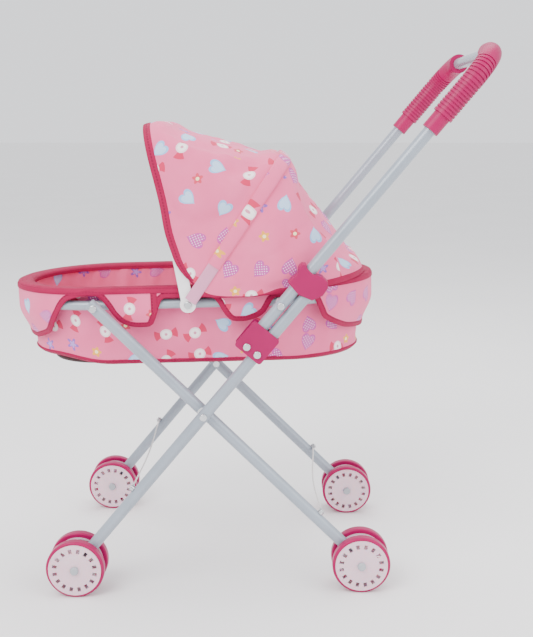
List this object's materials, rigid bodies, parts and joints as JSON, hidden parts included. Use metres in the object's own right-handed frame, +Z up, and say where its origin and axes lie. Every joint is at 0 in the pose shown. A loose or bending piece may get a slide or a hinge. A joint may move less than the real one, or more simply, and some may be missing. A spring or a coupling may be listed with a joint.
{
  "type": "doll stroller",
  "caption": "Toy doll pram: soft carrycot with folding hood on a cross frame that folds flat, paired wheels and a push handle with ribbed grips.",
  "frame": {"origin": "centre of the bounding box at floor level", "axes": "+X points to the push handle end, -Y is the stroller's left side, +Z is up"},
  "size_m": [0.5004, 0.2866, 0.5558],
  "materials": {
    "painted_tube": "light grey enamel",
    "magenta_plastic": "moulded, satin",
    "magenta_tyre": "moulded, glossy tread",
    "white_hub": "milky, slightly translucent",
    "vinyl_grip": "soft vinyl",
    "bright_steel": "zinc plated",
    "grey_plastic": "push-on cap",
    "white_nylon": "moulded",
    "white_strip": "flat extruded strip",
    "white_cord": "braided",
    "print_cloth": "printed polyester with bound edges",
    "brown_board": "covered hardboard"
  },
  "bodies": {
    "front_frame": {"front_leg_left": "painted_tube", "front_leg_right": "painted_tube", "lower_bracket_left": "magenta_plastic", "lower_bracket_right": "magenta_plastic", "bracket_rivets": "bright_steel", "cross_pivot_bolts": "bright_steel", "cross_pivot_washers": "white_nylon", "front_axles": "bright_steel", "front_axle_caps": "grey_plastic", "front_cord": "white_cord", "front_cord_fittings": "bright_steel"},
    "rear_frame": {"rear_leg_left": "painted_tube", "rear_leg_right": "painted_tube", "rear_axles": "bright_steel", "seat_pivot_bolts": "bright_steel", "seat_pivot_spacers": "white_nylon", "rear_axle_caps": "grey_plastic", "rear_cord": "white_cord", "rear_cord_fittings": "bright_steel"},
    "handle_frame": {"handle_tube": "painted_tube", "grip_left": "vinyl_grip", "grip_right": "vinyl_grip", "rail_bolts": "bright_steel", "rail_spacers": "white_nylon"},
    "clip_left": {"lock_clip_left": "magenta_plastic"},
    "clip_right": {"lock_clip_right": "magenta_plastic"},
    "seat_frame": {"seat_rail": "painted_tube", "rail_bosses": "white_nylon", "carrycot": "print_cloth", "rim_cover": "print_cloth", "base_board": "brown_board", "hood_rivets": "bright_steel"},
    "rear_bow": {"hood_rear_bow": "white_strip", "canopy_rear": "print_cloth"},
    "front_bow": {"hood_front_bow": "white_strip", "canopy_front": "print_cloth"},
    "front_left_inner_wheel": {"front_left_inner_tyre": "magenta_tyre", "front_left_inner_hub": "white_hub"},
    "front_left_outer_wheel": {"front_left_outer_tyre": "magenta_tyre", "front_left_outer_hub": "white_hub"},
    "front_right_inner_wheel": {"front_right_inner_tyre": "magenta_tyre", "front_right_inner_hub": "white_hub"},
    "front_right_outer_wheel": {"front_right_outer_tyre": "magenta_tyre", "front_right_outer_hub": "white_hub"},
    "rear_left_inner_wheel": {"rear_left_inner_tyre": "magenta_tyre", "rear_left_inner_hub": "white_hub"},
    "rear_left_outer_wheel": {"rear_left_outer_tyre": "magenta_tyre", "rear_left_outer_hub": "white_hub"},
    "rear_right_inner_wheel": {"rear_right_inner_tyre": "magenta_tyre", "rear_right_inner_hub": "white_hub"},
    "rear_right_outer_wheel": {"rear_right_outer_tyre": "magenta_tyre", "rear_right_outer_hub": "white_hub"}
  },
  "joints": [
    {"name": "handle_fold", "type": "hinge", "parent": "front_frame", "child": "handle_frame", "pos_m": [0.00327, 0, 0.26188], "axis": [0, -1, 0], "range_deg": [0, 135]},
    {"name": "rear_fold", "type": "hinge", "parent": "front_frame", "child": "rear_frame", "pos_m": [-0.04061, 0, 0.18896], "axis": [0, -1, 0], "range_deg": [0, 69.65]},
    {"name": "seat_fold", "type": "hinge", "parent": "rear_frame", "child": "seat_frame", "pos_m": [-0.15023, 0, 0.29692], "axis": [0, -1, 0], "range_deg": [-25.73, 0], "deforming": ["carrycot", "base_board", "rim_cover"]},
    {"name": "hood_fold", "type": "hinge", "parent": "seat_frame", "child": "rear_bow", "pos_m": [-0.05627, 0, 0.29949], "axis": [0, 1, 0], "range_deg": [0, 36], "deforming": ["canopy_rear"]},
    {"name": "hood_front_fold", "type": "hinge", "parent": "rear_bow", "child": "front_bow", "pos_m": [-0.05627, 0, 0.29949], "axis": [0, 1, 0], "range_deg": [0, 36.01], "deforming": ["canopy_front"]},
    {"name": "clip_left_slide", "type": "slide", "parent": "handle_frame", "child": "clip_left", "axis": [0.6405, 0, 0.7679], "range_m": [0, 0.028]},
    {"name": "clip_right_slide", "type": "slide", "parent": "handle_frame", "child": "clip_right", "axis": [0.6405, 0, 0.7679], "range_m": [0, 0.028]},
    {"name": "front_left_inner_wheel_spin", "type": "hinge", "parent": "front_frame", "child": "front_left_inner_wheel", "pos_m": [-0.1732, 0, 0.03], "axis": [0, 1, 0], "continuous": true},
    {"name": "front_left_outer_wheel_spin", "type": "hinge", "parent": "front_frame", "child": "front_left_outer_wheel", "pos_m": [-0.1732, 0, 0.03], "axis": [0, 1, 0], "continuous": true},
    {"name": "front_right_inner_wheel_spin", "type": "hinge", "parent": "front_frame", "child": "front_right_inner_wheel", "pos_m": [-0.1732, 0, 0.03], "axis": [0, 1, 0], "continuous": true},
    {"name": "front_right_outer_wheel_spin", "type": "hinge", "parent": "front_frame", "child": "front_right_outer_wheel", "pos_m": [-0.1732, 0, 0.03], "axis": [0, 1, 0], "continuous": true},
    {"name": "rear_left_inner_wheel_spin", "type": "hinge", "parent": "rear_frame", "child": "rear_left_inner_wheel", "pos_m": [0.1208, 0, 0.03], "axis": [0, 1, 0], "continuous": true},
    {"name": "rear_left_outer_wheel_spin", "type": "hinge", "parent": "rear_frame", "child": "rear_left_outer_wheel", "pos_m": [0.1208, 0, 0.03], "axis": [0, 1, 0], "continuous": true},
    {"name": "rear_right_inner_wheel_spin", "type": "hinge", "parent": "rear_frame", "child": "rear_right_inner_wheel", "pos_m": [0.1208, 0, 0.03], "axis": [0, 1, 0], "continuous": true},
    {"name": "rear_right_outer_wheel_spin", "type": "hinge", "parent": "rear_frame", "child": "rear_right_outer_wheel", "pos_m": [0.1208, 0, 0.03], "axis": [0, 1, 0], "continuous": true}
  ],
  "couplings": [
    {"joint": "rear_fold", "follows": "handle_fold", "ratio": 0.51585},
    {"joint": "seat_fold", "follows": "handle_fold", "ratio": -0.19052},
    {"joint": "hood_front_fold", "follows": "hood_fold", "ratio": 1}
  ]
}
